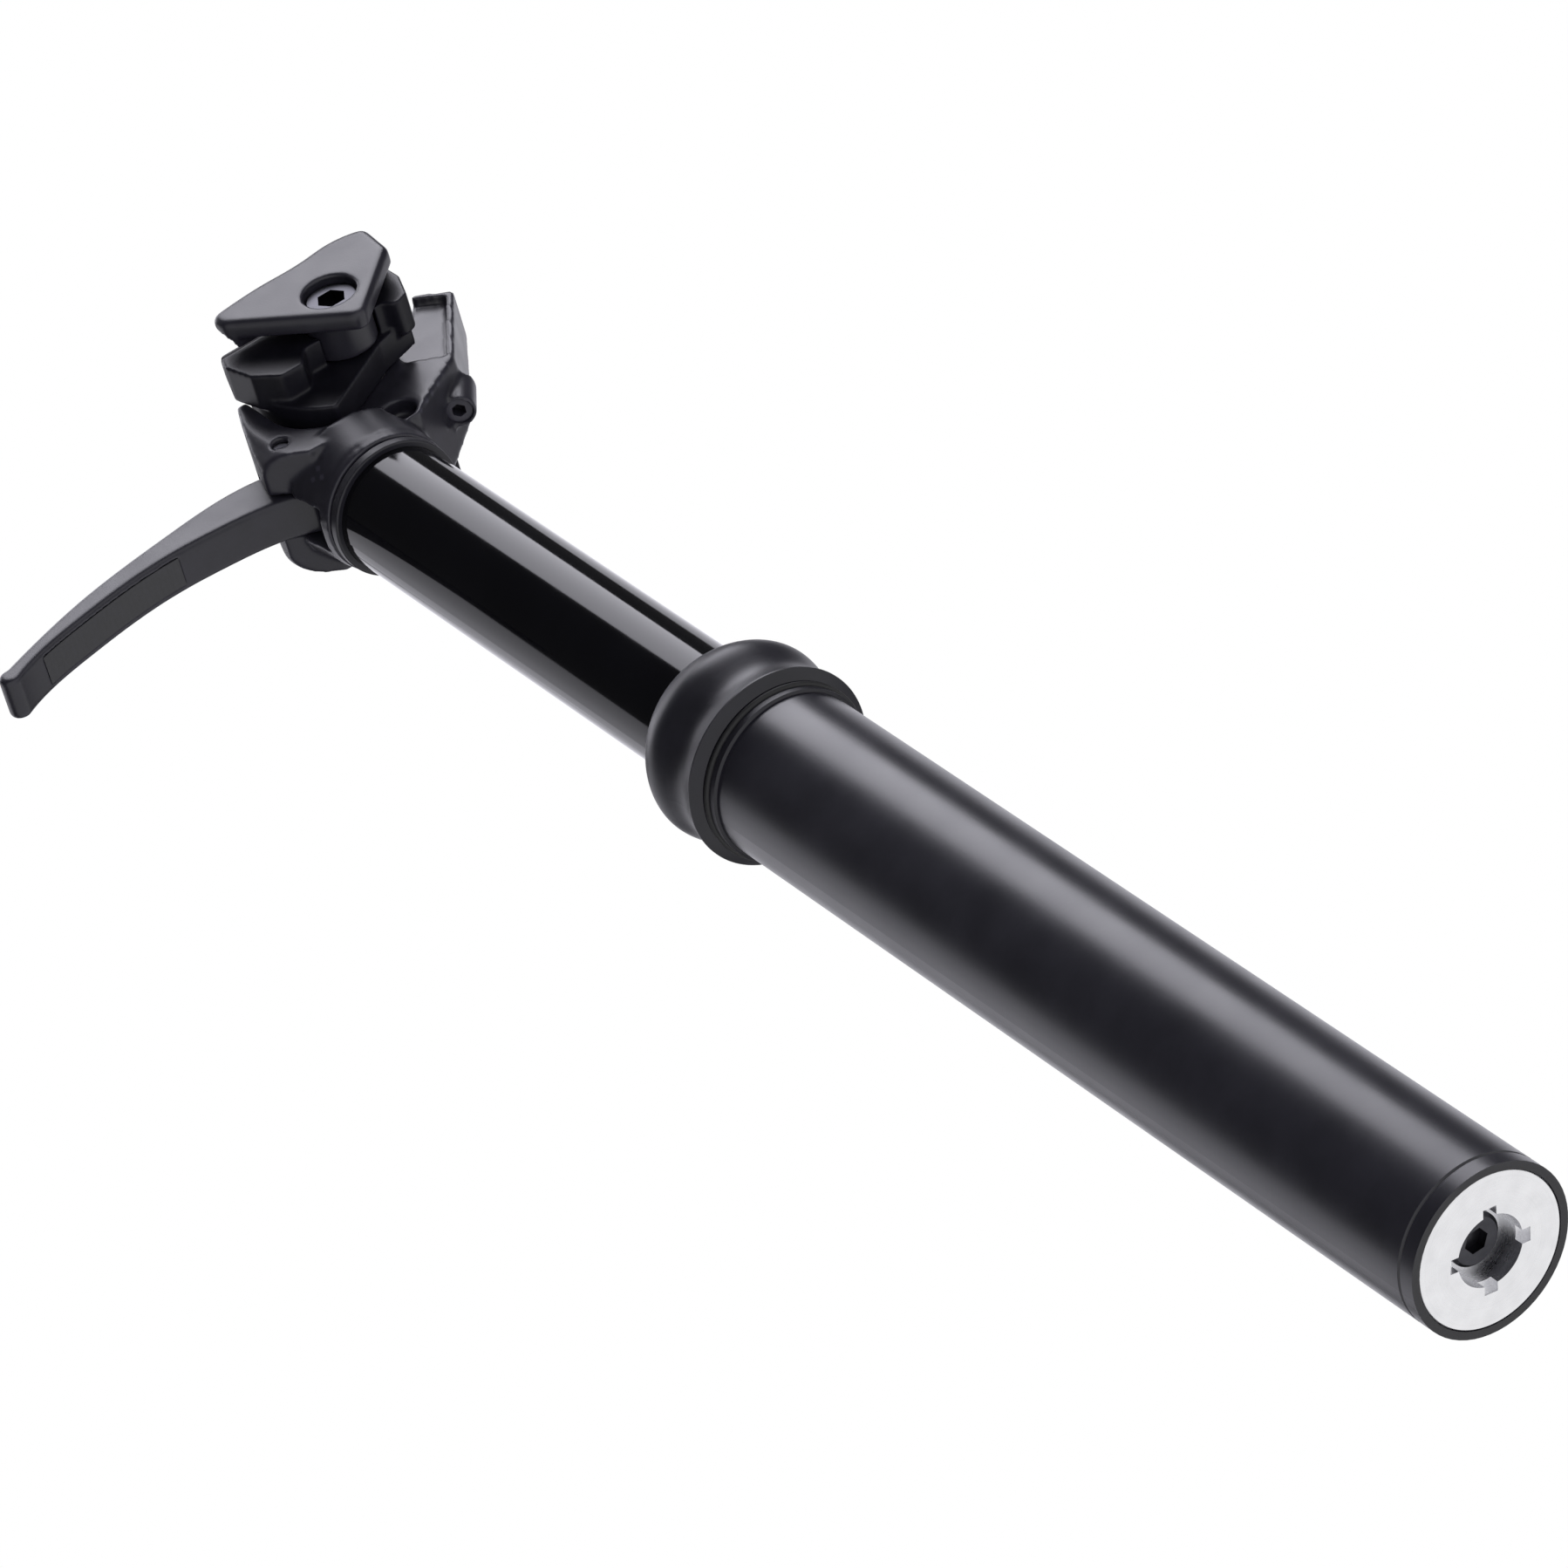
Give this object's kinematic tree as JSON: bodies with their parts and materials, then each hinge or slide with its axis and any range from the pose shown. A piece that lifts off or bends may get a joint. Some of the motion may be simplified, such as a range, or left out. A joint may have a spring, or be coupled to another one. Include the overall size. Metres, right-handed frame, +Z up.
{
  "type": "dropper seatpost",
  "caption": "Telescopic bicycle seatpost with a release lever under the saddle clamp, a domed collar and a round lower tube with a silver end cap.",
  "frame": {"origin": "On the post's axis at the lower end of the outer tube, metres", "axes": "+Z up the post's axis, +X towards the saddle nose and the lever, +Y to the rider's left"},
  "size_m": [0.1228, 0.056, 0.369],
  "materials": {
    "anodised": "satin",
    "gloss_black": "gloss",
    "tube_black": "satin",
    "silver": "satin",
    "steel": "satin",
    "chrome_rod": "gloss",
    "alloy": "satin",
    "seal_rubber": "matte",
    "pad_rubber": "matte",
    "bushing_plastic": "matte",
    "key_brass": "satin"
  },
  "bodies": {
    "lower_post": {"outer_tube": "tube_black", "bottom_cap": "silver", "cap_oring": "seal_rubber", "bottom_screw": "silver", "end_bumper": "seal_rubber", "collar_ring": "anodised", "collar_oring": "seal_rubber", "collar": "anodised", "wiper_seal": "seal_rubber", "upper_bushing": "bushing_plastic", "cartridge_rod": "chrome_rod", "piston": "alloy", "piston_ring": "seal_rubber", "piston_nut": "steel"},
    "upper_post": {"stanchion": "gloss_black", "lower_bushing": "bushing_plastic", "guide_keys": "key_brass", "cartridge_nut": "alloy", "cartridge_body": "alloy", "cartridge_cap": "alloy", "gland": "alloy", "gland_seal": "seal_rubber", "topout_bumper": "seal_rubber", "bump_ring": "seal_rubber", "head": "anodised", "tilt_screw": "steel", "pivot_pin": "steel", "disc_springs": "steel"},
    "release_lever": {"lever": "anodised", "lever_pad": "pad_rubber"},
    "valve_pin": {"actuator_pin": "steel"},
    "gas_piston": {"floating_piston": "alloy", "floating_seal": "seal_rubber"},
    "clamp_core": {"barrel_nut": "steel", "cradle_left": "anodised", "cradle_right": "anodised"},
    "clamp_left": {"plate_left": "anodised", "bolt_left": "steel", "washer_left": "steel"},
    "clamp_right": {"plate_right": "anodised", "bolt_right": "steel", "washer_right": "steel"}
  },
  "joints": [
    {"name": "stanchion_slide", "type": "slide", "parent": "lower_post", "child": "upper_post", "axis": [0, 0, 1], "range_m": [-0.1, 0]},
    {"name": "lever_hinge", "type": "hinge", "parent": "upper_post", "child": "release_lever", "pos_m": [0.0109, 0, 0.3385], "axis": [0, -1, 0], "range_deg": [0, 8], "stiffness_Nm_per_rad": 0.5},
    {"name": "valve_pin_slide", "type": "slide", "parent": "upper_post", "child": "valve_pin", "axis": [0, 0, -1], "range_m": [0, 0.0017], "deforming": ["disc_springs"]},
    {"name": "gas_piston_slide", "type": "slide", "parent": "upper_post", "child": "gas_piston", "axis": [0, 0, 1], "range_m": [0, 0.0217]},
    {"name": "saddle_tilt", "type": "hinge", "parent": "upper_post", "child": "clamp_core", "pos_m": [-0.0132, 0, 0.3517], "axis": [0, 1, 0], "range_deg": [-8, 8]},
    {"name": "clamp_left_slide", "type": "slide", "parent": "clamp_core", "child": "clamp_left", "axis": [0, 1, 0], "range_m": [0, 0.004]},
    {"name": "clamp_right_slide", "type": "slide", "parent": "clamp_core", "child": "clamp_right", "axis": [0, -1, 0], "range_m": [0, 0.004]}
  ],
  "couplings": [
    {"joint": "valve_pin_slide", "follows": "lever_hinge", "m_per_rad": 0.0114},
    {"joint": "gas_piston_slide", "follows": "stanchion_slide", "ratio": -0.2163}
  ]
}
